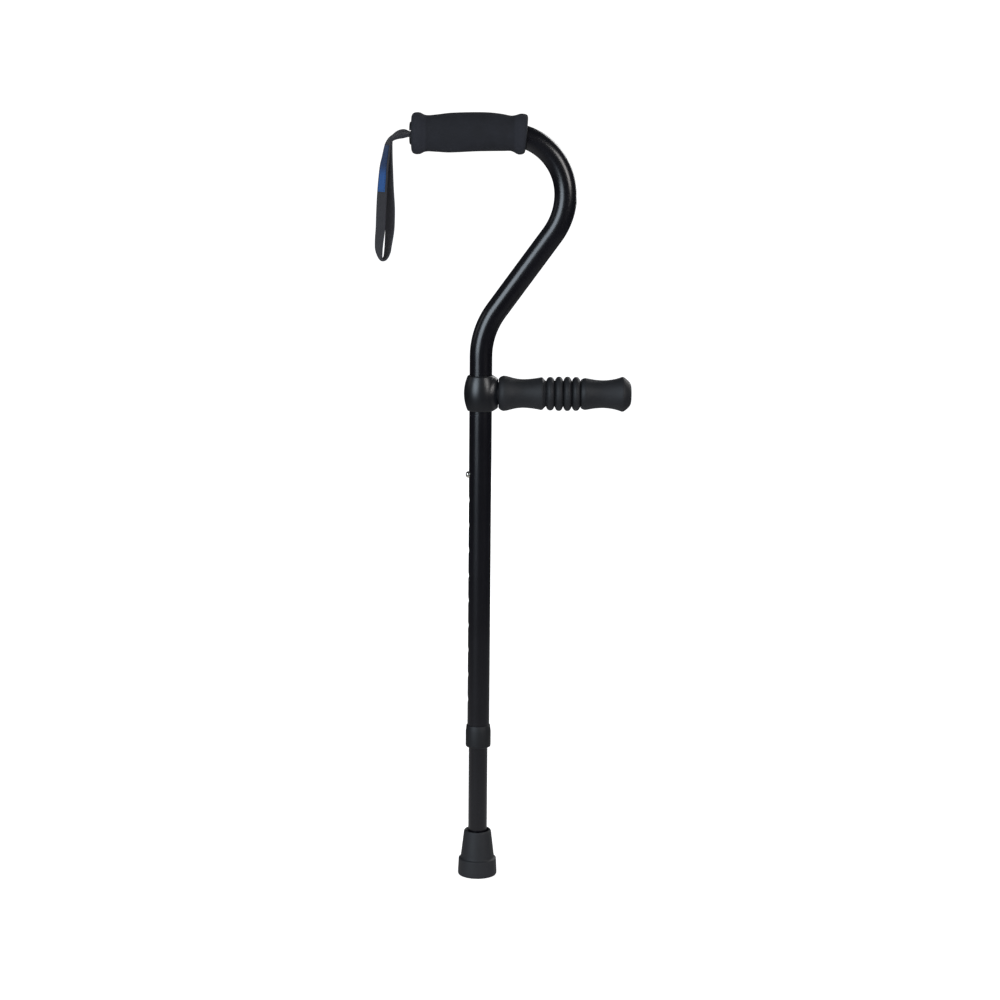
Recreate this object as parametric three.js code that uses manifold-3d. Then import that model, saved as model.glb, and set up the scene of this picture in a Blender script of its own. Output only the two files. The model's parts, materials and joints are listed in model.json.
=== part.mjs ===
// Offset-handle walking cane with a clamp-on side handle, in millimetres.
// The origin is the centre of the tip's flat base, +Z runs up the shaft and +X points to the handle's bend.

import * as THREE from "three";
import { mergeVertices } from "three/addons/utils/BufferGeometryUtils.js";
import Module from "manifold-3d";

const wasm = await Module();
wasm.setup();

// Driving dimensions.
const HANDLE_AXIS_Z = 744.3;
const TUBE_RADIUS = 11.1;
const TUBE_BORE = 9.86;
const TUBE_END_Z = 147.5;
const TUBE_START_X = -68.2;
const BEND_FAR_X = 81;
const BEND_RADIUS = 57.8;
const BEND_LOWER_RADIUS = 66;
const BEND_LEAN = THREE.MathUtils.degToRad(36);
const NECK_RADIUS = 77;

const LOWER_RADIUS = 9.525;
const LOWER_BORE = 8.325;
const LOWER_START_Z = 13.8;
const LOWER_END_Z = 441.5;

const HOLE_COUNT = 10;
const HOLE_PITCH = 25.4;
const HOLE_TOP_Z = 411.3;
const HOLE_RADIUS = 3.5;

const GRIP_START_X = -68.4;
const GRIP_END_X = 44.4;
const GRIP_FLANGE = 20;
const GRIP_BARREL = 19.25;
const GRIP_NECK = 17.4;
const GRIP_CAMBER = 1.8;

const ASSIST_Z = 492.5;
const COLLAR_HALF = 17.5;
const COLLAR_BORE = 12.3;
const COLLAR_RADIUS = 16.6;
const COLLAR_END_RADIUS = 12.9;
const BOSS_SHOULDER = 17.1;
const BOSS_START_X = 5.5;
const BOSS_HALF_WIDTH = 15.6;
const BOSS_FLANK_SLOPE = 0.45;
const BOSS_RADIUS = 14.3;
const BOSS_END_X = 17.2;
const SPIGOT_RADIUS = 10.2;
const SPIGOT_END_X = 31;
const SHOE_RADIUS = 6.4;
const ROD_RADIUS = 4;
const ASSIST_END_X = 148.6;

const TIP_RADIUS = 19.7;
const TIP_TOP_Z = 46.3;
const TIP_SOCKET_Z = 10.1;

const STRAP_PIVOT_X = -87;
const STRAP_PIVOT_Z = 738.5;

const GAP = 0.3;
const SIDES = 24;
const SMALL_SIDES = 16;

// Materials.
const finish = (color, roughness, metalness) => new THREE.MeshStandardMaterial({ color, roughness, metalness });
const blackPaint = finish(0x0b0b0c, 0.28, 0.3);
const blackFoam = finish(0x101011, 0.95, 0);
const blackRubber = finish(0x121213, 0.8, 0);
const blackPlastic = finish(0x0c0c0d, 0.35, 0);
const mattePlastic = finish(0x111112, 0.6, 0);
const blackWebbing = finish(0x141415, 0.9, 0);
const blueLabel = finish(0x2b4f9e, 0.8, 0);
const springSteel = finish(0xb8b4ab, 0.3, 1);
const zincSteel = finish(0x9c9ea2, 0.35, 1);
const brass = finish(0xb59a52, 0.35, 1);
const paleNylon = finish(0xd8d6cf, 0.55, 0);

// Booleans.
function solid(geometry) {
  const bare = geometry.index ? geometry.toNonIndexed() : geometry.clone();
  bare.deleteAttribute("normal");
  bare.deleteAttribute("uv");
  const merged = mergeVertices(bare, 1e-4);
  return new wasm.Manifold(
    new wasm.Mesh({
      numProp: 3,
      vertProperties: new Float32Array(merged.attributes.position.array),
      triVerts: new Uint32Array(merged.index.array),
    }),
  );
}

function geometryOf(body) {
  const mesh = body.getMesh();
  return new THREE.BufferGeometry()
    .setAttribute("position", new THREE.BufferAttribute(mesh.vertProperties, 3))
    .setIndex(new THREE.BufferAttribute(mesh.triVerts, 1));
}

const minus = (body, ...cuts) => geometryOf(cuts.reduce((left, cut) => left.subtract(solid(cut)), solid(body)));
const joined = (...bodies) => geometryOf(bodies.map(solid).reduce((a, b) => a.add(b)));

// A profile of [radius, place] points, in order of rising place on the outside, turned about Z, X or Y.
function turnedZ(profile, sides = SIDES) {
  const points = profile.map(([r, z]) => new THREE.Vector2(r, z));
  return new THREE.LatheGeometry(points, sides).rotateX(Math.PI / 2);
}

function turnedX(profile, sides = SIDES) {
  return turnedZ(profile, sides).rotateY(Math.PI / 2);
}

// A closed ring between two radii.
const ringProfile = (inner, outer, low, high) => [
  [inner, low],
  [outer, low],
  [outer, high],
  [inner, high],
  [inner, low],
];

// A solid disc or rod on the axis.
const rodProfile = (radius, low, high) => [
  [0, low],
  [radius, low],
  [radius, high],
  [0, high],
];

// A smooth stretch of profile through a few points.
function smoothStretch(points, count) {
  const curve = new THREE.SplineCurve(points.map(([r, x]) => new THREE.Vector2(r, x)));
  return curve.getPoints(count).map((p) => [p.x, p.y]);
}

const box = (x0, x1, y0, y1, z0, z1) =>
  new THREE.BoxGeometry(x1 - x0, y1 - y0, z1 - z0).translate((x0 + x1) / 2, (y0 + y1) / 2, (z0 + z1) / 2);

// The centreline of the bent tube: stations on the XZ plane, each with its direction.
class StationPath extends THREE.Curve {
  constructor(stations) {
    super();
    this.stations = stations;
  }

  station(u) {
    return this.stations[Math.round(u * (this.stations.length - 1))];
  }

  getPoint(u) {
    return this.station(u).point.clone();
  }

  getPointAt(u) {
    return this.getPoint(u);
  }

  getTangentAt(u) {
    return this.station(u).direction.clone();
  }
}

// Angles run clockwise from +X, so a station heading straight down has a heading of a quarter turn.
const station = (x, z, heading) => ({
  point: new THREE.Vector3(x, 0, z),
  direction: new THREE.Vector3(Math.cos(heading), 0, -Math.sin(heading)),
});

function arcStations(startX, startZ, radius, from, to, steps) {
  const side = Math.sign(to - from);
  return Array.from({ length: steps }, (_, i) => {
    const heading = from + ((to - from) * (i + 1)) / steps;
    const x = startX + side * radius * (Math.sin(heading) - Math.sin(from));
    const z = startZ + side * radius * (Math.cos(heading) - Math.cos(from));
    return station(x, z, heading);
  });
}

function caneStations() {
  const down = Math.PI / 2;
  const bendStartX = BEND_FAR_X - BEND_RADIUS;
  const stations = [station(TUBE_START_X, HANDLE_AXIS_Z, 0), station(bendStartX, HANDLE_AXIS_Z, 0)];
  const last = () => stations[stations.length - 1].point;
  stations.push(...arcStations(last().x, last().z, BEND_RADIUS, 0, down, 12));
  stations.push(...arcStations(last().x, last().z, BEND_LOWER_RADIUS, down, down + BEND_LEAN, 5));
  const neckStartX = NECK_RADIUS * (1 - Math.cos(BEND_LEAN));
  const run = (last().x - neckStartX) / Math.sin(BEND_LEAN);
  const neckStartZ = last().z - run * Math.cos(BEND_LEAN);
  stations.push(station(neckStartX, neckStartZ, down + BEND_LEAN));
  stations.push(...arcStations(neckStartX, neckStartZ, NECK_RADIUS, down + BEND_LEAN, down, 6));
  stations.push(station(0, TUBE_END_Z, down));
  return stations;
}

function barAlong(stations, radius) {
  const section = new THREE.Shape().absarc(0, 0, radius, 0, 2 * Math.PI);
  return new THREE.ExtrudeGeometry(section, {
    steps: stations.length - 1,
    curveSegments: SIDES / 2,
    extrudePath: new StationPath(stations),
  });
}

function upperShaft() {
  const holes = Array.from({ length: HOLE_COUNT }, (_, i) => {
    const drill = turnedX(rodProfile(HOLE_RADIUS, -TUBE_RADIUS - 3, -4), SMALL_SIDES);
    return drill.translate(0, 0, HOLE_TOP_Z - i * HOLE_PITCH);
  });
  return minus(barAlong(caneStations(), TUBE_RADIUS), barAlong(caneStations(), TUBE_BORE), ...holes);
}

function lowerShaft() {
  const tube = turnedZ(ringProfile(LOWER_BORE, LOWER_RADIUS, LOWER_START_Z, LOWER_END_Z));
  const drill = turnedX(rodProfile(HOLE_RADIUS, -TUBE_RADIUS, -4), SMALL_SIDES);
  return minus(tube, drill.translate(0, 0, HOLE_TOP_Z));
}

// Foam sleeve: a flange at each end, a neck beside each flange and a slightly swollen barrel between.
// The barrel arches upwards between the flanges, and the tube starts to bend inside the sleeve.
function handleGrip() {
  const outside = smoothStretch(
    [
      [GRIP_FLANGE - 1.6, GRIP_START_X],
      [GRIP_FLANGE, GRIP_START_X + 3],
      [GRIP_FLANGE, GRIP_START_X + 7.5],
      [GRIP_NECK + 0.5, GRIP_START_X + 12],
      [GRIP_NECK, GRIP_START_X + 17],
      [GRIP_BARREL, GRIP_START_X + 38],
      [GRIP_BARREL - 0.2, GRIP_START_X + 62],
      [GRIP_NECK + 0.8, GRIP_END_X - 26],
      [GRIP_NECK, GRIP_END_X - 17.5],
      [GRIP_FLANGE - 1.2, GRIP_END_X - 11.4],
      [GRIP_FLANGE, GRIP_END_X - 6.5],
      [GRIP_FLANGE - 1, GRIP_END_X - 2],
      [GRIP_FLANGE - 3.5, GRIP_END_X],
    ],
    22,
  );
  const sleeve = turnedX([[0, GRIP_START_X], ...outside, [0, GRIP_END_X]]);
  const place = sleeve.attributes.position;
  const neck = GRIP_START_X + 13;
  const reach = GRIP_END_X - 11 - neck;
  for (let i = 0; i < place.count; i++) {
    const along = THREE.MathUtils.clamp((place.getX(i) - neck) / reach, 0, 1);
    place.setZ(i, place.getZ(i) + GRIP_CAMBER * Math.sin(Math.PI * along ** 1.6));
  }
  return minus(sleeve.translate(0, 0, HANDLE_AXIS_Z), barAlong(longHandleStations(), TUBE_RADIUS + GAP));
}

// The tube's centreline again, started further out so that a bar along it passes right through the grip.
function longHandleStations() {
  const stations = caneStations();
  stations[0] = station(TUBE_START_X - 5, HANDLE_AXIS_Z, 0);
  return stations;
}

// The end plug: a spigot in the tube and a flange outside it, slotted across for the strap.
const PLUG_FACE_X = -70.6;
const PLUG_SLOT_HALF = 2.7;
const PIN_X = -61;
const PIN_RADIUS = 1;
const STRAP_HALF_WIDTH = 7.6;

function handlePlug() {
  const spigot = TUBE_BORE - GAP;
  const profile = [
    [0, PLUG_FACE_X],
    [10.3, PLUG_FACE_X],
    [10.9, PLUG_FACE_X + 0.6],
    [10.9, TUBE_START_X - GAP],
    [spigot, TUBE_START_X - GAP],
    [spigot, -54],
    [0, -54],
  ];
  const mouth = box(PLUG_FACE_X - 1, -66.5, -12, 12, -PLUG_SLOT_HALF, PLUG_SLOT_HALF);
  const pocket = box(-67, -57.8, -8, 8, -PLUG_SLOT_HALF, PLUG_SLOT_HALF);
  const pinHole = acrossY(rodProfile(PIN_RADIUS + GAP, -12, 12)).translate(PIN_X, 0, 0);
  return minus(turnedX(profile), mouth, pocket, pinHole).translate(0, 0, HANDLE_AXIS_Z);
}

const acrossY = (profile) => turnedZ(profile, SMALL_SIDES).rotateX(Math.PI / 2);

const strapPin = () => acrossY(rodProfile(PIN_RADIUS, -9, 9)).translate(PIN_X, 0, HANDLE_AXIS_Z);

// An outline on the XZ plane, extruded evenly both ways along Y.
function plateXZ(outline, halfWidth) {
  const options = { depth: 2 * halfWidth, bevelEnabled: false, curveSegments: 8 };
  return new THREE.ExtrudeGeometry(outline, options).rotateX(Math.PI / 2).translate(0, halfWidth, 0);
}

// The strap's two layers between the pin and the bend, looped round the pin.
const NECK_FALL_X = -75;
const NECK_END_X = -82.6;
const NECK_DROP = 3;

function strapNeck() {
  const loop = PLUG_SLOT_HALF - GAP;
  const half = 1.9;
  const meet = Math.asin(half / loop);
  const outline = new THREE.Shape();
  outline.moveTo(NECK_END_X, -half - NECK_DROP);
  outline.lineTo(NECK_FALL_X, -half);
  outline.absarc(PIN_X, 0, loop, Math.PI + meet, 3 * Math.PI - meet, false);
  outline.lineTo(NECK_FALL_X, half);
  outline.lineTo(NECK_END_X, half - NECK_DROP);
  outline.holes.push(new THREE.Path().absarc(PIN_X, 0, PIN_RADIUS + GAP, 0, 2 * Math.PI, true));
  return plateXZ(outline, STRAP_HALF_WIDTH).translate(0, 0, HANDLE_AXIS_Z);
}

// The hanging loop of webbing, turned about the vertical: two legs joined at the bend and at the foot.
const STRAP_TURN = THREE.MathUtils.degToRad(28);
const STRAP_THICK = 2;

// Each row is a drop below the bend, the loop's middle there and half its outer width.
const STRAP_ROWS = [
  [3, -2.6, 3.3],
  [28, -6.6, 3.8],
  [51, -7.5, 5.2],
  [67, -7.7, 6.3],
  [86, -8.2, 6.4],
  [104, -9.3, 6.4],
  [111.7, -9.6, 6.3],
];

function loopOutline(outline, rows, inset) {
  const foot = rows[rows.length - 1];
  rows.forEach(([drop, middle, half], i) => {
    const at = [middle - half + inset, -drop];
    if (i) outline.lineTo(...at);
    else outline.moveTo(...at);
  });
  outline.absarc(foot[1], -foot[0], foot[2] - inset, Math.PI, 2 * Math.PI, false);
  for (const [drop, middle, half] of [...rows].reverse().slice(1)) outline.lineTo(middle + half - inset, -drop);
  return outline;
}

function hang(geometry) {
  return geometry.rotateZ(STRAP_TURN).translate(STRAP_PIVOT_X, 0, STRAP_PIVOT_Z);
}

function wristStrap() {
  const outline = loopOutline(new THREE.Shape(), STRAP_ROWS, 0);
  outline.holes.push(loopOutline(new THREE.Path(), STRAP_ROWS.slice(1), STRAP_THICK));
  const knuckle = acrossY(rodProfile(4, -STRAP_HALF_WIDTH, STRAP_HALF_WIDTH));
  return joined(hang(plateXZ(outline, STRAP_HALF_WIDTH)), knuckle.translate(STRAP_PIVOT_X, 0, STRAP_PIVOT_Z));
}

// The woven label on the outside of the nearer leg.
function strapLabel() {
  const outer = STRAP_ROWS.slice(0, 3).map(([drop, middle, half]) => [middle - half - GAP, -drop]);
  const low = outer[1].map((value, i) => value + (outer[2][i] - value) * 0.95);
  const high = outer[0].map((value, i) => value + (outer[1][i] - value) * 0.15);
  const outline = new THREE.Shape();
  outline.moveTo(high[0], high[1]);
  outline.lineTo(high[0] - 0.7, high[1]);
  outline.lineTo(outer[1][0] - 0.7, outer[1][1]);
  outline.lineTo(low[0] - 0.7, low[1]);
  outline.lineTo(low[0], low[1]);
  outline.lineTo(outer[1][0], outer[1][1]);
  return hang(plateXZ(outline, 6.2));
}

// The sprung button and its leaf, inside the lower tube.
function snapButton() {
  const nose = 3.2;
  const profile = [
    [0, -14.4],
    [1.4, -14.2],
    [2.6, -13.5],
    [nose, -12.2],
    [nose, -7.2],
    [3.7, -7.2],
    [3.7, -6.4],
    [0, -6.4],
  ];
  return turnedX(profile, SMALL_SIDES).translate(0, 0, HOLE_TOP_Z);
}

function snapSpring() {
  const route = [
    [-5.7, 6.2],
    [-5.7, -7.8],
    [-4.2, -25.8],
    [-1.6, -45.8],
    [0, -49.8],
    [1.6, -45.8],
    [5.2, -25.8],
    [7, -5.8],
  ].map(([x, rise]) => new THREE.Vector3(x, 0, HOLE_TOP_Z + rise));
  const strip = new THREE.Shape();
  strip.moveTo(-2.8, -0.35);
  strip.lineTo(2.8, -0.35);
  strip.lineTo(2.8, 0.35);
  strip.lineTo(-2.8, 0.35);
  return new THREE.ExtrudeGeometry(strip, { steps: 24, extrudePath: new THREE.CatmullRomCurve3(route) });
}

// A nylon guide in the top of the lower tube.
function glideBushing() {
  const profile = [
    [6, LOWER_END_Z - 12],
    [LOWER_BORE - GAP, LOWER_END_Z - 12],
    [LOWER_BORE - GAP, LOWER_END_Z + GAP],
    [9.7, LOWER_END_Z + GAP],
    [9.7, LOWER_END_Z + 6],
    [6, LOWER_END_Z + 6],
    [6, LOWER_END_Z - 12],
  ];
  return turnedZ(profile);
}

// The screw-on ring at the mouth of the upper tube, and the split collet that it squeezes.
const RING_LOW_Z = 134.1;
const RING_HIGH_Z = 156.6;
const RING_RADIUS = 12.7;

function lockRing() {
  const profile = [
    [LOWER_RADIUS + GAP, RING_LOW_Z],
    [RING_RADIUS - 0.7, RING_LOW_Z],
    [RING_RADIUS, RING_LOW_Z + 0.8],
    [RING_RADIUS, RING_HIGH_Z - 5.8],
    [TUBE_RADIUS + 0.9, RING_HIGH_Z - 0.7],
    [TUBE_RADIUS + GAP, RING_HIGH_Z],
    [TUBE_RADIUS + GAP, RING_LOW_Z + 1.8],
    [LOWER_RADIUS + GAP, RING_LOW_Z + 1.8],
    [LOWER_RADIUS + GAP, RING_LOW_Z],
  ];
  return turnedZ(profile);
}

function splitCollet() {
  const ring = turnedZ(ringProfile(LOWER_RADIUS + 0.15, TUBE_RADIUS, RING_LOW_Z + 2.1, TUBE_END_Z - GAP));
  return minus(ring, box(0, 14, -1, 1, RING_LOW_Z, TUBE_END_Z));
}

// Rubber ferrule with a stepped foot and two grooves in its sole.
function rubberTip() {
  const grip = LOWER_RADIUS + GAP;
  const profile = [
    [0, 0],
    [5.5, 0],
    [6.2, 2.2],
    [7.8, 2.2],
    [8.5, 0],
    [11.5, 0],
    [12.2, 2.2],
    [13.8, 2.2],
    [14.5, 0],
    [18.8, 0],
    [TIP_RADIUS - 0.2, 0.7],
    [TIP_RADIUS, 2],
    [TIP_RADIUS, 5],
    [19.1, 16.2],
    [18.5, 17.2],
    [17, 18.4],
    [16.7, 20],
    [13.7, TIP_TOP_Z - 1.6],
    [12.8, TIP_TOP_Z],
    [11.6, TIP_TOP_Z],
    [11, TIP_TOP_Z - 1.8],
    [grip, TIP_TOP_Z - 3.8],
    [grip, TIP_SOCKET_Z],
    [0, TIP_SOCKET_Z],
  ];
  return turnedZ(profile);
}

const tipWasher = () => turnedZ(rodProfile(LOWER_RADIUS - 0.2, TIP_SOCKET_Z + GAP, LOWER_START_Z - GAP));

// The clamp-on side handle, made about its own axis along X and lifted to ASSIST_Z.
const lift = (geometry) => geometry.translate(0, 0, ASSIST_Z);

function assistCollar() {
  const barrel = [[COLLAR_BORE, -COLLAR_HALF]];
  const bulge = COLLAR_RADIUS - COLLAR_END_RADIUS;
  for (let i = 0; i <= 12; i++) {
    const at = -1 + i / 6;
    barrel.push([COLLAR_END_RADIUS + bulge * (1 - at * at), at * COLLAR_HALF]);
  }
  barrel.push([COLLAR_BORE, COLLAR_HALF], [COLLAR_BORE, -COLLAR_HALF]);
  const spigot = turnedX(rodProfile(SPIGOT_RADIUS, BOSS_START_X, SPIGOT_END_X));
  const shaftWay = turnedZ(rodProfile(COLLAR_BORE, -COLLAR_HALF - 1, COLLAR_HALF + 1));
  const shoePocket = turnedX(rodProfile(SHOE_RADIUS + 0.4, 4, 21.2), SMALL_SIDES);
  const insertPocket = turnedX(rodProfile(6.2, 20, SPIGOT_END_X + 1), SMALL_SIDES);
  return lift(minus(joined(turnedZ(barrel), collarBoss(), spigot), shaftWay, shoePocket, insertPocket));
}

// The boss is as tall as the barrel, and its flanks draw in towards the side handle.
function collarBoss() {
  const boss = turnedX([
    [0, BOSS_START_X],
    [BOSS_SHOULDER, BOSS_START_X],
    [BOSS_SHOULDER, 12.6],
    [BOSS_SHOULDER - 0.6, 14.1],
    [BOSS_RADIUS + 1, 15.9],
    [BOSS_RADIUS, BOSS_END_X],
    [0, BOSS_END_X],
  ]);
  const place = boss.attributes.position;
  for (let i = 0; i < place.count; i++) {
    const halfWidth = BOSS_HALF_WIDTH - BOSS_FLANK_SLOPE * (place.getX(i) - BOSS_START_X);
    place.setY(i, (place.getY(i) * halfWidth) / BOSS_SHOULDER);
  }
  return boss;
}

const assistLiner = () => lift(turnedZ(ringProfile(TUBE_RADIUS + 0.25, 12, -COLLAR_HALF, COLLAR_HALF)));

function clampInsert() {
  const profile = [
    [ROD_RADIUS + 0.2, 18.9],
    [6.4, 18.9],
    [6.4, 20.9],
    [5.9, 20.9],
    [5.9, SPIGOT_END_X - GAP],
    [ROD_RADIUS + 0.2, SPIGOT_END_X - GAP],
    [ROD_RADIUS + 0.2, 18.9],
  ];
  return lift(turnedX(profile, SMALL_SIDES));
}

function pressureShoe() {
  const disc = turnedX(rodProfile(SHOE_RADIUS, 8, 15.2), SMALL_SIDES);
  return lift(minus(disc, turnedZ(rodProfile(COLLAR_BORE, -10, 10))));
}

function assistRod() {
  const profile = [
    [0, 15.5],
    [2.6, 15.5],
    [ROD_RADIUS, 17],
    [ROD_RADIUS, 142],
    [0, 142],
  ];
  return lift(turnedX(profile, SMALL_SIDES));
}

const CORE_START_X = 31.8;
const CORE_END_X = 134;

const assistCore = () =>
  lift(turnedX(ringProfile(ROD_RADIUS + GAP, 9, CORE_START_X, CORE_END_X), SMALL_SIDES));

const assistWasher = () =>
  lift(turnedX(ringProfile(ROD_RADIUS + GAP, 8.6, CORE_END_X + GAP, CORE_END_X + 1.6), SMALL_SIDES));

function assistNut() {
  const hexagon = turnedX(rodProfile(7.5, CORE_END_X + 1.9, CORE_END_X + 7.9), 6);
  const bore = turnedX(rodProfile(ROD_RADIUS + GAP, CORE_END_X, CORE_END_X + 10), SMALL_SIDES);
  return lift(minus(hexagon, bore));
}

// Moulded rubber: a flange, a waist, four ribs in grooves, a second waist and a flared, closed end.
function assistGrip() {
  const start = BOSS_END_X + GAP;
  const waist = smoothStretch(
    [
      [16.4, start + 2],
      [17.4, start + 5],
      [16.7, start + 9.7],
      [15.4, start + 13.7],
      [14.4, start + 19.5],
      [14.1, start + 24.5],
      [14.5, start + 31.4],
      [15.3, start + 37.3],
      [16.2, start + 42.3],
    ],
    9,
  );
  const ribs = [];
  const ribX = [68.3, 77, 85.4, 93.8];
  const ribRadius = [16.4, 16.8, 16.8, 16.6];
  ribX.forEach((x, i) => {
    ribs.push([14.6, x - 4.3], [ribRadius[i] - 0.7, x - 2.4], [ribRadius[i], x], [ribRadius[i] - 0.7, x + 2.4]);
  });
  const tail = smoothStretch(
    [
      [14.2, 98.2],
      [15.6, 102.8],
      [14.4, 110],
      [13.6, 120],
      [14.4, 128],
      [15.6, 133.6],
      [17.1, 139.4],
      [16.2, 143.6],
      [12.6, 147.2],
      [10.4, ASSIST_END_X],
    ],
    12,
  );
  const recess = SPIGOT_RADIUS + 0.4;
  const profile = [
    [recess, start],
    [14.6, start],
    ...waist,
    ...ribs,
    ...tail,
    [0, ASSIST_END_X],
    [0, 143],
    [9.3, 143],
    [9.3, CORE_START_X],
    [recess, CORE_START_X],
    [recess, start],
  ];
  return lift(turnedX(profile));
}

// The assembly.
const pieces = [
  ["upper_shaft", upperShaft(), blackPaint],
  ["lower_shaft", lowerShaft(), blackPaint],
  ["handle_grip", handleGrip(), blackFoam],
  ["handle_plug", handlePlug(), mattePlastic],
  ["strap_pin", strapPin(), zincSteel],
  ["strap_neck", strapNeck(), blackWebbing],
  ["wrist_strap", wristStrap(), blackWebbing],
  ["strap_label", strapLabel(), blueLabel],
  ["snap_button", snapButton(), springSteel],
  ["snap_spring", snapSpring(), springSteel],
  ["glide_bushing", glideBushing(), paleNylon],
  ["lock_ring", lockRing(), mattePlastic],
  ["split_collet", splitCollet(), paleNylon],
  ["rubber_tip", rubberTip(), blackRubber],
  ["tip_washer", tipWasher(), zincSteel],
  ["assist_collar", assistCollar(), blackPlastic],
  ["assist_liner", assistLiner(), mattePlastic],
  ["clamp_insert", clampInsert(), brass],
  ["pressure_shoe", pressureShoe(), mattePlastic],
  ["assist_rod", assistRod(), zincSteel],
  ["assist_core", assistCore(), mattePlastic],
  ["assist_washer", assistWasher(), zincSteel],
  ["assist_nut", assistNut(), zincSteel],
  ["assist_grip", assistGrip(), blackRubber],
];

const cane = new THREE.Group();
for (const [name, geometry, material] of pieces) {
  const mesh = new THREE.Mesh(geometry, material);
  mesh.name = name;
  cane.add(mesh);
}

export default cane;
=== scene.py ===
import json
import math

import bmesh
import bpy
from mathutils import Matrix, Vector


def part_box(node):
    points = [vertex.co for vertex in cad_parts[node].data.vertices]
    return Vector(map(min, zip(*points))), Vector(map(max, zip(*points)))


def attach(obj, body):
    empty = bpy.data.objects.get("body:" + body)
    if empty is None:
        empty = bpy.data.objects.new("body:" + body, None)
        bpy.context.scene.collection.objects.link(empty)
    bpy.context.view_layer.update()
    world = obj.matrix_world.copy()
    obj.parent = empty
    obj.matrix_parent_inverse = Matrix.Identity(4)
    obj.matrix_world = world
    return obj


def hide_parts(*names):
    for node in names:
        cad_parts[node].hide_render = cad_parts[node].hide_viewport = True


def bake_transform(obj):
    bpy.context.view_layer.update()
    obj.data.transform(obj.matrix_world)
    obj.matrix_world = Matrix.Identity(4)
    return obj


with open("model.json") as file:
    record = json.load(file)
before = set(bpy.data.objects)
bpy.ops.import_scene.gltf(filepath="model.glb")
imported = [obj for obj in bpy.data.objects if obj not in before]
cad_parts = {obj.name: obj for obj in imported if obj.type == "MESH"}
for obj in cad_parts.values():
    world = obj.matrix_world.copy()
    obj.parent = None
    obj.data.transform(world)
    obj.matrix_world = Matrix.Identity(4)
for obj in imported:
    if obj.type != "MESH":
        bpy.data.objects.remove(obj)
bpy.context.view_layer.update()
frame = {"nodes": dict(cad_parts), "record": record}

bl_info = {
    "name": "Offset-handle walking cane",
    "version": (1, 0, 0),
    "blender": (4, 5, 0),
    "location": "View3D > Sidebar > Cane",
    "description": "Builds the looks of a walking cane with a clamp-on side handle",
    "category": "Object",
}

MM = 0.001
X_AXIS = Vector((1, 0, 0))
Y_AXIS = Vector((0, 1, 0))
Z_AXIS = Vector((0, 0, 1))
FINE_SIDES = 96
SHARP_ANGLE = math.radians(32)


class CaneSizes(bpy.types.PropertyGroup):
    """Driving sizes of the cane that the frame's boxes don't give."""

    bend_radius: bpy.props.FloatProperty(
        name="Bend radius", description="Radius of the handle's bend", default=57.8 * MM, unit="LENGTH"
    )
    lower_bend_radius: bpy.props.FloatProperty(
        name="Lower bend radius", description="Radius of the bend's lower part", default=66 * MM, unit="LENGTH"
    )
    neck_radius: bpy.props.FloatProperty(
        name="Neck radius", description="Radius of the bend back to the shaft", default=77 * MM, unit="LENGTH"
    )
    lean: bpy.props.FloatProperty(
        name="Lean", description="Lean of the slanted stretch", default=math.radians(36), subtype="ANGLE"
    )
    wall: bpy.props.FloatProperty(
        name="Wall", description="Wall of both tubes", default=1.24 * MM, unit="LENGTH"
    )
    hole_pitch: bpy.props.FloatProperty(
        name="Hole pitch", description="Distance between setting holes", default=25.4 * MM, unit="LENGTH"
    )
    hole_count: bpy.props.IntProperty(name="Holes", description="Number of setting holes", default=10)
    hole_radius: bpy.props.FloatProperty(
        name="Hole radius", description="Radius of a setting hole", default=3.5 * MM, unit="LENGTH"
    )
    webbing_width: bpy.props.FloatProperty(
        name="Webbing width", description="Width of the strap's webbing", default=16 * MM, unit="LENGTH"
    )
    webbing_thickness: bpy.props.FloatProperty(
        name="Webbing thickness", description="Thickness of one layer", default=1.6 * MM, unit="LENGTH"
    )


class CaneColours(bpy.types.PropertyGroup):
    """Base colours of the finishes."""

    paint: bpy.props.FloatVectorProperty(
        name="Paint", description="Powder coat on the tubes", default=(0.0045, 0.0045, 0.0075), subtype="COLOR"
    )
    foam: bpy.props.FloatVectorProperty(
        name="Foam", description="Handle sleeve", default=(0.0150, 0.0165, 0.0225), subtype="COLOR"
    )
    rubber: bpy.props.FloatVectorProperty(
        name="Rubber", description="Tip and side handle", default=(0.0105, 0.0120, 0.0162), subtype="COLOR"
    )
    plastic: bpy.props.FloatVectorProperty(
        name="Plastic", description="Mouldings", default=(0.0060, 0.0070, 0.0100), subtype="COLOR"
    )
    webbing: bpy.props.FloatVectorProperty(
        name="Webbing", description="Wrist strap", default=(0.0260, 0.0265, 0.0350), subtype="COLOR"
    )
    label: bpy.props.FloatVectorProperty(
        name="Label", description="Woven label", default=(0.010, 0.100, 0.36), subtype="COLOR"
    )


def sizes():
    return bpy.context.scene.cane_sizes


def colours():
    return bpy.context.scene.cane_colours


# Shapes.


def smooth_line(points, steps):
    """A smooth line through points of any dimension, with the ends repeated so that it passes through them."""
    padded = [points[0], *points, points[-1]]
    line = []
    for a, b, c, d in zip(padded, padded[1:], padded[2:], padded[3:]):
        for i in range(steps):
            t = i / steps
            line.append(
                tuple(
                    0.5 * (2 * q + (r - p) * t + (2 * p - 5 * q + 4 * r - s) * t * t + (3 * q - p - 3 * r + s) * t**3)
                    for p, q, r, s in zip(a, b, c, d)
                )
            )
    return [*line, tuple(points[-1])]


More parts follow.
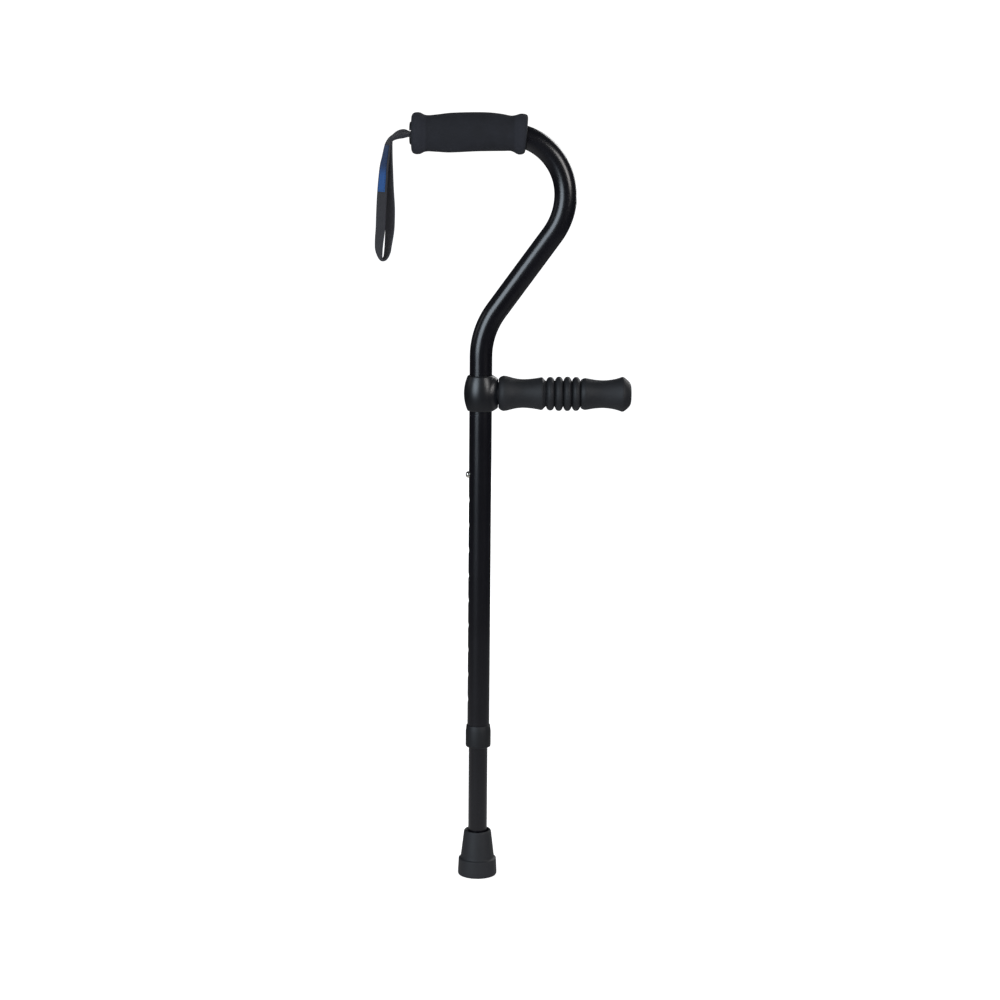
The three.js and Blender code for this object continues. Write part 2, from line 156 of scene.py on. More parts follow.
def turned(bm, outline, axis, centre, sides=FINE_SIDES):
    """Spins an outline of (radius, place) points, in millimetres, about an axis through centre."""
    across = Z_AXIS if axis is X_AXIS else X_AXIS
    verts = [bm.verts.new(centre + (across * r + axis * p) * MM) for r, p in outline]
    edges = [bm.edges.new(pair) for pair in zip(verts, verts[1:])]
    bmesh.ops.spin(
        bm, geom=[*verts, *edges], cent=centre, axis=axis, angle=math.tau, steps=sides, use_merge=True
    )
    bmesh.ops.remove_doubles(bm, verts=bm.verts, dist=1e-7)


def soften(bm, width, segments=3, angle=SHARP_ANGLE):
    """Rounds every edge sharper than an angle."""
    sharp = [e for e in bm.edges if len(e.link_faces) == 2 and e.calc_face_angle(0) > angle]
    bmesh.ops.bevel(
        bm,
        geom=sharp,
        offset=width * MM,
        offset_type="OFFSET",
        affect="EDGES",
        segments=segments,
        profile=0.5,
        material=-1,
        clamp_overlap=True,
    )


def closed(bm):
    bmesh.ops.remove_doubles(bm, verts=bm.verts, dist=1e-7)
    bmesh.ops.recalc_face_normals(bm, faces=bm.faces)


def as_piece(bm, name, material=None):
    """A finished object from a bmesh, smooth but for its sharp edges."""
    mesh = bpy.data.meshes.new(name)
    bm.to_mesh(mesh)
    bm.free()
    piece = bpy.data.objects.new(name, mesh)
    bpy.context.collection.objects.link(piece)
    mesh.shade_smooth()
    mesh.set_sharp_from_angle(angle=SHARP_ANGLE)
    if material:
        mesh.materials.append(material)
    return piece


def apply_modifiers(piece):
    depsgraph = bpy.context.evaluated_depsgraph_get()
    mesh = bpy.data.meshes.new_from_object(piece.evaluated_get(depsgraph))
    old = piece.data
    piece.modifiers.clear()
    piece.data = mesh
    mesh.name = old.name
    bpy.data.meshes.remove(old)


def round_rims(piece, width, segments, angle):
    """Adds a bevel to every edge sharper than an angle in degrees."""
    rims = piece.modifiers.new("Soft rims", "BEVEL")
    rims.width = width * MM
    rims.segments = segments
    rims.limit_method = "ANGLE"
    rims.angle_limit = math.radians(angle)
    return rims


def boolean(piece, other, operation):
    """Joins or cuts with another object, which is then removed."""
    modifier = piece.modifiers.new("Boolean", "BOOLEAN")
    modifier.operation = operation
    modifier.solver = "EXACT"
    modifier.object = other
    apply_modifiers(piece)
    bpy.data.objects.remove(other)


def settle(piece, body, material_slot, *nodes):
    """A finished piece rides on its body and stands for its nodes; the finish named by material_slot is not used."""
    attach(piece, body)
    if nodes:
        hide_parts(*nodes)


def round_piece(name, outline, axis, centre, material, edge=0.3, sides=FINE_SIDES):
    """A turned piece with softened edges."""
    bm = bmesh.new()
    turned(bm, outline, axis, centre, sides)
    closed(bm)
    if edge:
        soften(bm, edge)
    return as_piece(bm, name, material)


# Materials.


def node_group(name, inputs, outputs):
    """A shader node group with its sockets, and its input and output nodes."""
    group = bpy.data.node_groups.new(name, "ShaderNodeTree")
    for label, kind, value in inputs:
        socket = group.interface.new_socket(label, in_out="INPUT", socket_type=kind)
        if value is not None:
            socket.default_value = value
    for label, kind in outputs:
        group.interface.new_socket(label, in_out="OUTPUT", socket_type=kind)
    return group, group.nodes.new("NodeGroupInput"), group.nodes.new("NodeGroupOutput")


def math_node(tree, operation, *values):
    """The output of a Math node, with each of its values set or linked."""
    node = tree.nodes.new("ShaderNodeMath")
    node.operation = operation
    for socket, value in zip(node.inputs, values):
        if isinstance(value, (int, float)):
            socket.default_value = value
        else:
            tree.links.new(value, socket)
    return node.outputs[0]


def grain_group():
    """Fine grain with slower mottling: a height, a mask and a roughness that vary over the surface."""
    name = "Grain and mottling"
    if name in bpy.data.node_groups:
        return bpy.data.node_groups[name]
    group, source, sink = node_group(
        name,
        [
            ("Vector", "NodeSocketVector", None),
            ("Grain Scale", "NodeSocketFloat", 900.0),
            ("Mottle Scale", "NodeSocketFloat", 40.0),
            ("Roughness Low", "NodeSocketFloat", 0.4),
            ("Roughness High", "NodeSocketFloat", 0.5),
        ],
        [("Height", "NodeSocketFloat"), ("Mottle", "NodeSocketFloat"), ("Roughness", "NodeSocketFloat")],
    )
    nodes, links = group.nodes, group.links
    grain = nodes.new("ShaderNodeTexNoise")
    grain.inputs["Detail"].default_value = 3
    mottle = nodes.new("ShaderNodeTexNoise")
    mottle.inputs["Detail"].default_value = 4
    spread = nodes.new("ShaderNodeMapRange")
    spread.inputs["From Min"].default_value = 0.3
    spread.inputs["From Max"].default_value = 0.7
    rough = nodes.new("ShaderNodeMapRange")
    links.new(source.outputs["Vector"], grain.inputs["Vector"])
    links.new(source.outputs["Grain Scale"], grain.inputs["Scale"])
    links.new(source.outputs["Vector"], mottle.inputs["Vector"])
    links.new(source.outputs["Mottle Scale"], mottle.inputs["Scale"])
    links.new(mottle.outputs["Fac"], spread.inputs["Value"])
    links.new(spread.outputs["Result"], rough.inputs["Value"])
    links.new(source.outputs["Roughness Low"], rough.inputs["To Min"])
    links.new(source.outputs["Roughness High"], rough.inputs["To Max"])
    links.new(grain.outputs["Fac"], sink.inputs["Height"])
    links.new(spread.outputs["Result"], sink.inputs["Mottle"])
    links.new(rough.outputs["Result"], sink.inputs["Roughness"])
    return group


def weave_group():
    """Crossing threads on a piece's own length and width, in metres: a height and a mask of the upper thread."""
    name = "Crossing threads"
    if name in bpy.data.node_groups:
        return bpy.data.node_groups[name]
    group, source, sink = node_group(
        name,
        [
            ("Vector", "NodeSocketVector", None),
            ("Threads Along", "NodeSocketFloat", 900.0),
            ("Threads Across", "NodeSocketFloat", 900.0),
        ],
        [("Height", "NodeSocketFloat"), ("Warp", "NodeSocketFloat")],
    )
    split = group.nodes.new("ShaderNodeSeparateXYZ")
    group.links.new(source.outputs["Vector"], split.inputs[0])
    along = math_node(group, "MULTIPLY", split.outputs["X"], source.outputs["Threads Along"])
    across = math_node(group, "MULTIPLY", split.outputs["Y"], source.outputs["Threads Across"])
    slant = math_node(group, "MULTIPLY", math_node(group, "ADD", along, across), math.pi)
    warp = math_node(group, "ABSOLUTE", math_node(group, "SINE", slant))
    straight = math_node(group, "MULTIPLY", across, math.pi)
    weft = math_node(group, "ABSOLUTE", math_node(group, "COSINE", straight))
    group.links.new(math_node(group, "MULTIPLY", warp, weft), sink.inputs["Height"])
    group.links.new(warp, sink.inputs["Warp"])
    return group


def fade_group():
    """A mask by a place's distance from a middle along X: none at Start and whole at End, in metres."""
    name = "Fade along X"
    if name in bpy.data.node_groups:
        return bpy.data.node_groups[name]
    group, source, sink = node_group(
        name,
        [
            ("Vector", "NodeSocketVector", None),
            ("Middle", "NodeSocketFloat", 0.0),
            ("Start", "NodeSocketFloat", 0.0),
            ("End", "NodeSocketFloat", 1.0),
        ],
        [("Mask", "NodeSocketFloat")],
    )
    split = group.nodes.new("ShaderNodeSeparateXYZ")
    group.links.new(source.outputs["Vector"], split.inputs[0])
    away = math_node(group, "SUBTRACT", split.outputs["X"], source.outputs["Middle"])
    fade = group.nodes.new("ShaderNodeMapRange")
    fade.interpolation_type = "SMOOTHSTEP"
    group.links.new(math_node(group, "ABSOLUTE", away), fade.inputs["Value"])
    group.links.new(source.outputs["Start"], fade.inputs["From Min"])
    group.links.new(source.outputs["End"], fade.inputs["From Max"])
    group.links.new(fade.outputs["Result"], sink.inputs["Mask"])
    return group


def link_colour(material, mask, dark, light):
    """Base colour between two tints, by a mask that varies over the surface."""
    tree = material.node_tree
    ramp = tree.nodes.new("ShaderNodeMix")
    ramp.data_type = "RGBA"
    ramp.inputs["A"].default_value = (*dark, 1)
    ramp.inputs["B"].default_value = (*light, 1)
    tree.links.new(mask, ramp.inputs["Factor"])
    tree.links.new(ramp.outputs["Result"], tree.nodes["Principled BSDF"].inputs["Base Color"])


def link_bump(material, height, strength, distance):
    tree = material.node_tree
    bump = tree.nodes.new("ShaderNodeBump")
    bump.inputs["Strength"].default_value = strength
    bump.inputs["Distance"].default_value = distance
    tree.links.new(height, bump.inputs["Height"])
    tree.links.new(bump.outputs["Normal"], tree.nodes["Principled BSDF"].inputs["Normal"])


def lay_over(material, colour, coordinates, middle, start, end):
    """Lays a second colour over the base colour, by the distance from a middle along X."""
    tree = material.node_tree
    place = tree.nodes.new("ShaderNodeTexCoord")
    fade = tree.nodes.new("ShaderNodeGroup")
    fade.node_tree = fade_group()
    for socket, value in (("Middle", middle), ("Start", start), ("End", end)):
        fade.inputs[socket].default_value = value
    over = tree.nodes.new("ShaderNodeMix")
    over.data_type = "RGBA"
    over.inputs["B"].default_value = (*colour, 1)
    base = tree.nodes["Principled BSDF"].inputs["Base Color"]
    tree.links.new(base.links[0].from_socket, over.inputs["A"])
    tree.links.new(place.outputs[coordinates], fade.inputs["Vector"])
    tree.links.new(fade.outputs["Mask"], over.inputs["Factor"])
    tree.links.new(over.outputs["Result"], base)


def tinted(colour, factor):
    return tuple(min(1.0, c * factor) for c in colour)


def grained(name, colour, roughness, grain=900, mottle=40, bump=0.3, depth=0.05, spread=0.12, **shader):
    """A material with fine grain, slow mottling of its colour and an uneven roughness."""
    if name in bpy.data.materials:
        return bpy.data.materials[name]
    material = bpy.data.materials.new(name)
    material.use_nodes = True
    tree = material.node_tree
    place = tree.nodes.new("ShaderNodeTexCoord")
    grains = tree.nodes.new("ShaderNodeGroup")
    grains.node_tree = grain_group()
    grains.inputs["Grain Scale"].default_value = grain
    grains.inputs["Mottle Scale"].default_value = mottle
    grains.inputs["Roughness Low"].default_value = roughness[0]
    grains.inputs["Roughness High"].default_value = roughness[1]
    tree.links.new(place.outputs["Object"], grains.inputs["Vector"])
    principled = tree.nodes["Principled BSDF"]
    tree.links.new(grains.outputs["Roughness"], principled.inputs["Roughness"])
    for socket, value in shader.items():
        principled.inputs[socket.replace("_", " ")].default_value = value
    link_colour(material, grains.outputs["Mottle"], tinted(colour, 1 - spread), tinted(colour, 1 + spread))
    link_bump(material, grains.outputs["Height"], bump, depth * MM)
    return material


def powder_coat():
    return grained(
        "Satin black powder coat", colours().paint, (0.22, 0.27), grain=700, mottle=25, bump=0.18, depth=0.05
    )


def foam():
    """Foam, with its two flanges painted a little paler: a painted highlight where their rounded shapes catch the
    light.
    """
    name = "Closed-cell foam"
    if name in bpy.data.materials:
        return bpy.data.materials[name]
    colour = colours().foam
    material = grained(
        name, colour, (0.85, 0.95), grain=1100, mottle=60, bump=0.55, depth=0.25, spread=0.2, Specular_IOR_Level=0.25
    )
    low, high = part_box("handle_grip")
    middle, reach = (low.x + high.x) / 2, (high.x - low.x) / 2
    # Painted highlight: both flanges are painted 1.45 times paler, as if lit more strongly than the barrel.
    lay_over(material, tinted(colour, 1.45), "Object", middle, reach - 15 * MM, reach - 12 * MM)
    return material


def moulded_rubber():
    return grained(
        "Moulded rubber",
        colours().rubber,
        (0.58, 0.7),
        grain=1500,
        mottle=45,
        depth=0.08,
        spread=0.15,
        Specular_IOR_Level=0.4,
    )


def satin_plastic():
    return grained(
        "Satin moulding",
        colours().plastic,
        (0.52, 0.6),
        grain=1800,
        mottle=30,
        bump=0.2,
        depth=0.04,
        Specular_IOR_Level=0.36,
    )


def glossy_plastic():
    return grained(
        "Polished moulding", colours().plastic, (0.33, 0.38), grain=250, mottle=20, bump=0.05, depth=0.05
    )


def bright_plate():
    return grained(
        "Bright plate", (0.80, 0.77, 0.70), (0.16, 0.26), grain=1200, mottle=80, bump=0.05, depth=0.02, Metallic=1.0
    )


def zinc_plate():
    return grained(
        "Zinc plate", (0.58, 0.59, 0.62), (0.3, 0.42), grain=1500, mottle=120, bump=0.1, depth=0.02, Metallic=1.0
    )


def machined_brass():
    return grained(
        "Machined brass", (0.70, 0.55, 0.27), (0.25, 0.36), grain=1500, mottle=120, bump=0.1, depth=0.02, Metallic=1.0
    )


def pale_nylon():
    return grained(
        "Pale nylon", (0.72, 0.70, 0.64), (0.42, 0.55), grain=1200, mottle=60, bump=0.15, depth=0.04, spread=0.05
    )


def woven(name, colour, along, across, depth, spread):
    """Threads that follow the piece's own length and width."""
    if name in bpy.data.materials:
        return bpy.data.materials[name]
    material = bpy.data.materials.new(name)
    material.use_nodes = True
    tree = material.node_tree
    place = tree.nodes.new("ShaderNodeTexCoord")
    weave = tree.nodes.new("ShaderNodeGroup")
    weave.node_tree = weave_group()
    weave.inputs["Threads Along"].default_value = along
    weave.inputs["Threads Across"].default_value = across
    tree.links.new(place.outputs["UV"], weave.inputs["Vector"])
    principled = tree.nodes["Principled BSDF"]
    principled.inputs["Roughness"].default_value = 0.7
    principled.inputs["Sheen Weight"].default_value = 0.1
    principled.inputs["Specular IOR Level"].default_value = 0.3
    link_colour(material, weave.outputs["Warp"], tinted(colour, 1 - spread), tinted(colour, 1 + spread))
    link_bump(material, weave.outputs["Height"], 0.6, depth * MM)
    return material


def webbing_cloth():
    return woven("Nylon webbing", colours().webbing, 700, 1100, 0.25, 0.35)


def label_cloth():
    """Woven label, painted darker near the bend: painted shade."""
    name = "Woven label"
    if name in bpy.data.materials:
        return bpy.data.materials[name]
    material = woven(name, colours().label, 2500, 2500, 0.08, 0.2)
    # Painted shade: the label's colour is darkened over its end nearest the bend.
    lay_over(material, tinted(colours().label, 0.38), "UV", 0, 32 * MM, 18 * MM)
    return material


# Pieces.


def loop_edges(verts):
    ring = set(verts)
    return [e for e in {e for v in verts for e in v.link_edges} if ring.issuperset(e.verts)]


def push(bm, loop, move):
    """Extrudes an edge loop by a straight move and returns the new loop."""
    made = bmesh.ops.extrude_edge_only(bm, edges=loop)["geom"]
    verts = [g for g in made if isinstance(g, bmesh.types.BMVert)]
    bmesh.ops.translate(bm, verts=verts, vec=move)
    return loop_edges(verts)


def bend(bm, loop, centre, angle, steps):
    """Spins an edge loop about a line along Y and returns the last loop."""
    verts = {v for e in loop for v in e.verts}
    made = bmesh.ops.spin(
        bm, geom=[*verts, *loop], cent=centre, axis=Y_AXIS, angle=angle, steps=steps, use_merge=False
    )
    return [g for g in made["geom_last"] if isinstance(g, bmesh.types.BMEdge)]


def bent_wall(bm, radius, lead=0.0):
    """A tube along the cane's centreline, from before the handle's end to the foot."""
    size = sizes()
    low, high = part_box("upper_shaft")
    axis_z = high.z - high.y
    far_x = high.x - high.y
    bend_x = far_x - size.bend_radius
    place = Matrix.Translation((low.x - lead, 0, axis_z)) @ Matrix.Rotation(math.pi / 2, 4, "Y")
    ring = bmesh.ops.create_circle(bm, segments=FINE_SIDES, radius=radius, matrix=place)["verts"]
    loop = push(bm, loop_edges(ring), X_AXIS * (bend_x - low.x + lead))
    centre_z = axis_z - size.bend_radius
    loop = bend(bm, loop, Vector((bend_x, 0, centre_z)), math.pi / 2, 36)
    lower_x = far_x - size.lower_bend_radius
    loop = bend(bm, loop, Vector((lower_x, 0, centre_z)), size.lean, 16)
    end_x = lower_x + size.lower_bend_radius * math.cos(size.lean)
    end_z = centre_z - size.lower_bend_radius * math.sin(size.lean)
    run = (end_x - size.neck_radius * (1 - math.cos(size.lean))) / math.sin(size.lean)
    slope = Vector((-math.sin(size.lean), 0, -math.cos(size.lean)))
    loop = push(bm, loop, slope * run)
    neck_z = end_z - run * math.cos(size.lean) - size.neck_radius * math.sin(size.lean)
    loop = bend(bm, loop, Vector((size.neck_radius, 0, neck_z)), -size.lean, 16)
    push(bm, loop, Z_AXIS * (low.z - neck_z))


def hole_cutter(count):
    """Drills for the setting holes, as one object."""
    size = sizes()
    low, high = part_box("snap_button")
    centre = Vector((-12 * MM, 0, (low.z + high.z) / 2))
    bm = bmesh.new()
    for i in range(count):
        place = Matrix.Translation(centre - Z_AXIS * size.hole_pitch * i) @ Matrix.Rotation(math.pi / 2, 4, "Y")
        bmesh.ops.create_cone(
            bm,
            cap_ends=True,
            segments=40,
            radius1=size.hole_radius,
            radius2=size.hole_radius,
            depth=14 * MM,
            matrix=place,
        )
    return as_piece(bm, "drills")


def finish_tube(bm, name, drills):
    """Gives a tube its wall, drills it and softens its rims."""
    closed(bm)
    piece = as_piece(bm, name, powder_coat())
    wall = piece.modifiers.new("Wall", "SOLIDIFY")
    wall.thickness = sizes().wall
    wall.offset = -1
    wall.use_even_offset = True
    apply_modifiers(piece)
    boolean(piece, hole_cutter(drills), "DIFFERENCE")
    round_rims(piece, 0.22, 2, 50).harden_normals = True
    apply_modifiers(piece)
    return piece


class CANE_OT_upper_shaft(bpy.types.Operator):
    """Make the bent upper tube with its setting holes"""

    bl_idname = "cane.upper_shaft"
    bl_label = "Upper shaft"

    def execute(self, context):
        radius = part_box("upper_shaft")[1].y
        bm = bmesh.new()
        bent_wall(bm, radius)
        piece = finish_tube(bm, "upper_tube", sizes().hole_count)
        settle(piece, "upper", "shaft_paint", "upper_shaft")
        return {"FINISHED"}


class CANE_OT_lower_shaft(bpy.types.Operator):
    """Make the straight lower tube"""

    bl_idname = "cane.lower_shaft"
    bl_label = "Lower shaft"

    def execute(self, context):
        low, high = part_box("lower_shaft")
        bm = bmesh.new()
        place = Matrix.Translation((0, 0, low.z))
        ring = bmesh.ops.create_circle(bm, segments=FINE_SIDES, radius=high.y, matrix=place)["verts"]
        push(bm, loop_edges(ring), Z_AXIS * (high.z - low.z))
        piece = finish_tube(bm, "lower_tube", 1)
        settle(piece, "lower", "shaft_paint", "lower_shaft")
        return {"FINISHED"}


class CANE_OT_handle_grip(bpy.types.Operator):
    """Make the foam sleeve with its two flanges and its arched barrel"""

    bl_idname = "cane.handle_grip"
    bl_label = "Handle grip"

    def execute(self, context):
        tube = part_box("upper_shaft")[1]
        low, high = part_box("handle_grip")
        start, end = low.x / MM - 0.4, high.x / MM
        outside = smooth_line(
            [
                (14.4, start),
                (16.6, start + 0.25),
                (18.9, start + 1.6),
                (20.0, start + 4.2),
                (20.0, start + 7.4),
                (19.4, start + 9.6),
                (18.0, start + 12.2),
                (17.4, start + 15),
                (17.4, start + 18.5),
                (18.1, start + 27),
                (18.9, start + 36),
                (19.0, start + 47),
                (18.8, start + 60),
                (18.5, start + 75),
                (17.8, end - 26.5),
                (17.0, end - 19),
                (17.05, end - 16),
                (17.9, end - 12.8),
                (19.1, end - 9.6),
                (19.6, end - 6.8),
                (19.3, end - 3.6),
                (18.3, end - 1.2),
                (16.6, end - 0.3),
                (14.6, end),
            ],
            4,
        )
        bm = bmesh.new()
        turned(bm, [(0, start), *outside, (0, end)], X_AXIS, Z_AXIS * (tube.z - tube.y))
        closed(bm)
        self.arch(bm, start + 13, end - 11)
        self.slant(bm, end, tube.z - tube.y)
        piece = as_piece(bm, "foam_sleeve", foam())
        bm = bmesh.new()
        bent_wall(bm, tube.y + 0.15 * MM, lead=5 * MM)
        bmesh.ops.holes_fill(bm, edges=bm.edges, sides=0)
        closed(bm)
        boolean(piece, as_piece(bm, "tube_way"), "DIFFERENCE")
        round_rims(piece, 0.8, 3, 55)
        apply_modifiers(piece)
        piece.data.shade_smooth()
        settle(piece, "upper", "foam", "handle_grip")
        return {"FINISHED"}

    def arch(self, bm, start, end):
        """Lifts the barrel between the flanges, most of all towards the bend."""
        for v in bm.verts:
            along = min(max((v.co.x / MM - start) / (end - start), 0), 1)
            v.co.z += 2.0 * MM * math.sin(math.pi * along**1.6)

    def slant(self, bm, end, axis_z):
        """Tips the flange at the bend so that its lower side is a little shorter."""
        for v in bm.verts:
            near = min(max((v.co.x / MM - end + 16) / 16, 0), 1)
            v.co.x += near * ((v.co.z - axis_z) * 0.078 - 1.7 * MM)


class CANE_OT_handle_plug(bpy.types.Operator):
    """Make the slotted end plug"""

    bl_idname = "cane.handle_plug"
    bl_label = "Handle plug"

    def execute(self, context):
        low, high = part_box("handle_plug")
        face, back = low.x / MM, high.x / MM
        tube_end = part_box("upper_shaft")[0].x / MM
        centre = Z_AXIS * (low.z + high.z) / 2
        outline = [
            (0, face),
            (9.2, face),
            (10.4, face + 0.35),
            (10.95, face + 1.1),
            (10.95, tube_end - 0.2),
            (9.6, tube_end - 0.2),
            (9.6, back - 1),
            (8.8, back),
            (0, back),
        ]
        piece = round_piece("slotted_plug", outline, X_AXIS, centre, satin_plastic(), edge=0.2)
        for low_x, high_x, half_y in ((face - 1, -66.5, 12), (-67, -57.8, 8)):
            bm = bmesh.new()
            size = Vector((high_x - low_x, 2 * half_y, 5.4)) * MM
            middle = Vector(((low_x + high_x) / 2 * MM, 0, centre.z))
            bmesh.ops.create_cube(bm, size=1, matrix=Matrix.Translation(middle) @ Matrix.Diagonal((*size, 1)))
            boolean(piece, as_piece(bm, "slot"), "DIFFERENCE")
        settle(piece, "upper", "moulded_plastic", "handle_plug")
        return {"FINISHED"}


# The folded strap, down its middle: X and Z from the swing's axis, twist in degrees and half the gap in millimetres.
STRAP_MIDDLE = [
    (26, 5.8, 0, 1.9),
    (21, 5.8, 0, 1.35),
    (16, 5.0, 8, 0.95),
    (10.8, 5.3, 21, 0.92),
    (5.8, 4.2, 19, 0.9),
    (1.4, 1.9, 11, 0.86),
    (-1.9, -0.6, 10, 0.86),
    (-3.3, -4.2, 17, 0.88),
    (-4.1, -8.6, 22.5, 0.95),
    (-5.1, -18.2, 27, 1.65),
    (-6.0, -27.9, 31.5, 2.5),
    (-6.6, -47.2, 35, 3.75),
    (-6.6, -66.5, 35.5, 5.05),
    (-7.1, -86, 33.5, 5.35),
    (-7.8, -95.5, 31, 5.4),
    (-8.5, -104, 28, 5.2),
    (-9.1, -112.3, 26, 4.7),
]


def swing_axis():
    joint = next(j for j in frame["record"]["behaviour"]["joints"] if j["name"] == "strap_swing")
    return Vector(joint["pos_m"])


class StrapLine:
    """The middle line of the folded strap, with its frame at any place along it."""

    STEPS = 12

    def __init__(self):
        pivot = swing_axis()
        self.rows = smooth_line(STRAP_MIDDLE, self.STEPS)
        self.places = [pivot + Vector((x, 0, z)) * MM for x, z, _, _ in self.rows]

    def at(self, i):
        """Place, tangent, outward face, width direction and half gap at a row."""
        before, after = self.places[max(i - 1, 0)], self.places[min(i + 1, len(self.places) - 1)]
        tangent = (after - before).normalized()
        out = Vector((tangent.z, 0, -tangent.x))
        twist = math.radians(self.rows[i][2])
        face = out * math.cos(twist) - Y_AXIS * math.sin(twist)
        width = Y_AXIS * math.cos(twist) + out * math.sin(twist)
        return self.places[i], tangent, face, width, self.rows[i][3] * MM

    def band(self):
        """Places and width directions once round the closed loop: out, round the foot, back and round the pin."""
        count = len(self.rows)
        turn_steps = 14
        ring = []
        for i in range(count):
            place, _, face, width, gap = self.at(i)
            ring.append((place + face * gap, width, face))
        place, tangent, face, width, gap = self.at(count - 1)
        for k in range(1, turn_steps):
            angle = math.pi * k / turn_steps
            out = face * math.cos(angle) + tangent * math.sin(angle)
            ring.append((place + out * gap, width, out))
        for i in reversed(range(count)):
            place, _, face, width, gap = self.at(i)
            ring.append((place - face * gap, width, -face))
        place, tangent, face, width, gap = self.at(0)
        for k in range(1, turn_steps):
            angle = math.pi * k / turn_steps
            out = -face * math.cos(angle) - tangent * math.sin(angle)
            ring.append((place + out * gap, width, out))
        ring.append(ring[0])
        return ring

    def round_foot(self, bm):
        """Lets the middle of the webbing hang lowest at the foot, with both its edges drawn up."""
        foot = self.places[-1]
        lowest_x = foot.x - 1 * MM
        reach = 40 * MM
        outer_rise, inner_rise = 0.18, 0.1
        for v in bm.verts:
            near = min(max(1 - (v.co.z - foot.z) / reach, 0), 1)
            aside = (v.co.x - lowest_x) / MM
            rise = outer_rise if aside < 0 else inner_rise
            v.co.z += near * near * aside * aside * rise * MM


def ribbon(ring, width, cuts, closes):
    """A strip of cloth along a list of places, with its length and width in metres as its UV map."""
    bm = bmesh.new()
    uv = bm.loops.layers.uv.new("Cloth")
    spread = [width * (k / cuts - 0.5) for k in range(cuts + 1)]
    row = [bm.verts.new(ring[0][0] + ring[0][1] * offset) for offset in spread]
    edges = [bm.edges.new(pair) for pair in zip(row, row[1:])]
    where = {v: (0.0, offset) for v, offset in zip(row, spread)}
    length = 0.0
    for before, after in zip(ring, ring[1:]):
        length += (after[0] - before[0]).length
        made = bmesh.ops.extrude_edge_only(bm, edges=edges)["geom"]
        verts = [g for g in made if isinstance(g, bmesh.types.BMVert)]
        faces = [g for g in made if isinstance(g, bmesh.types.BMFace)]
        edges = loop_edges(verts)
        twins = {v: next(e.other_vert(v) for e in v.link_edges if e.other_vert(v) in where) for v in verts}
        for v, twin in twins.items():
            offset = where[twin][1]
            where[v] = (length, offset)
            v.co = after[0] + after[1] * offset
        for loop in (loop for face in faces for loop in face.loops):
            loop[uv].uv = where[loop.vert]
    if closes:
        bmesh.ops.remove_doubles(bm, verts=bm.verts, dist=1e-7)
    bmesh.ops.recalc_face_normals(bm, faces=bm.faces)
    return bm, length


def thicken(piece, thickness, soft):
    """Gives a strip its thickness and rounds its edges by soft, in millimetres."""
    shell = piece.modifiers.new("Thickness", "SOLIDIFY")
    shell.thickness = thickness
    shell.offset = 0
    shell.use_even_offset = True
    round_rims(piece, soft, 2, 60)
    apply_modifiers(piece)
    piece.data.shade_smooth()


def strap_blend(piece):
    """Bakes a piece's placement into its mesh."""
    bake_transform(piece)


class CANE_OT_wrist_strap(bpy.types.Operator):
    """Make the strap of webbing, its woven label and the label's stitches"""

    bl_idname = "cane.wrist_strap"
    bl_label = "Wrist strap"

    def execute(self, context):
        size = sizes()
        line = StrapLine()
        bm, length = ribbon(line.band(), size.webbing_width, 10, closes=True)
        line.round_foot(bm)
        strap = as_piece(bm, "strap_webbing", webbing_cloth())
        thicken(strap, size.webbing_thickness, 0.3)
        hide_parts("strap_neck", "wrist_strap")
        strap_blend(strap)
        label, stitches = self.label(line)
        return {"FINISHED"}

    def label(self, line):
        half_thick = sizes().webbing_thickness / 2
        lift = half_thick + 0.3 * MM
        first, last = round(7.4 * StrapLine.STEPS), round(11.25 * StrapLine.STEPS)
        rows = [line.at(i) for i in range(first, last)]
        ring = [(place + face * (gap + lift), width, face) for place, _, face, width, gap in rows]
        bm, _ = ribbon(ring, 12.6 * MM, 6, closes=False)
        label = as_piece(bm, "woven_label", label_cloth())
        thicken(label, 0.45 * MM, 0.12)
        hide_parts("strap_label")
        strap_blend(label)
        stitches = self.stitches(ring)
        return label, stitches

    def stitches(self, ring):
        """Short raised threads round the label's edge."""
        bm = bmesh.new()
        inset = 5.5 * MM
        route = [(p + w * inset, f) for p, w, f in ring[1:-1]]
        route += [(p - w * inset, f) for p, w, f in reversed(ring[1:-1])]
        route.append(route[0])
        travelled, next_at, pitch = 0.0, 0.0, 2.6 * MM
        for (a, face), (b, _) in zip(route, route[1:]):
            step = (b - a).length
            while next_at <= travelled + step and step > 0:
                place = a.lerp(b, (next_at - travelled) / step) + face * 0.28 * MM
                along = (b - a).normalized()
                side = face.cross(along).normalized()
                turn = Matrix((along, side, along.cross(side))).transposed().to_4x4()
                scale = Matrix.Diagonal((0.95 * MM, 0.24 * MM, 0.2 * MM, 1))
                bmesh.ops.create_icosphere(
                    bm, subdivisions=1, radius=1, matrix=Matrix.Translation(place) @ turn @ scale
                )
                next_at += pitch
            travelled += step
        thread = as_piece(bm, "label_stitches", webbing_cloth())
        strap_blend(thread)
        return thread


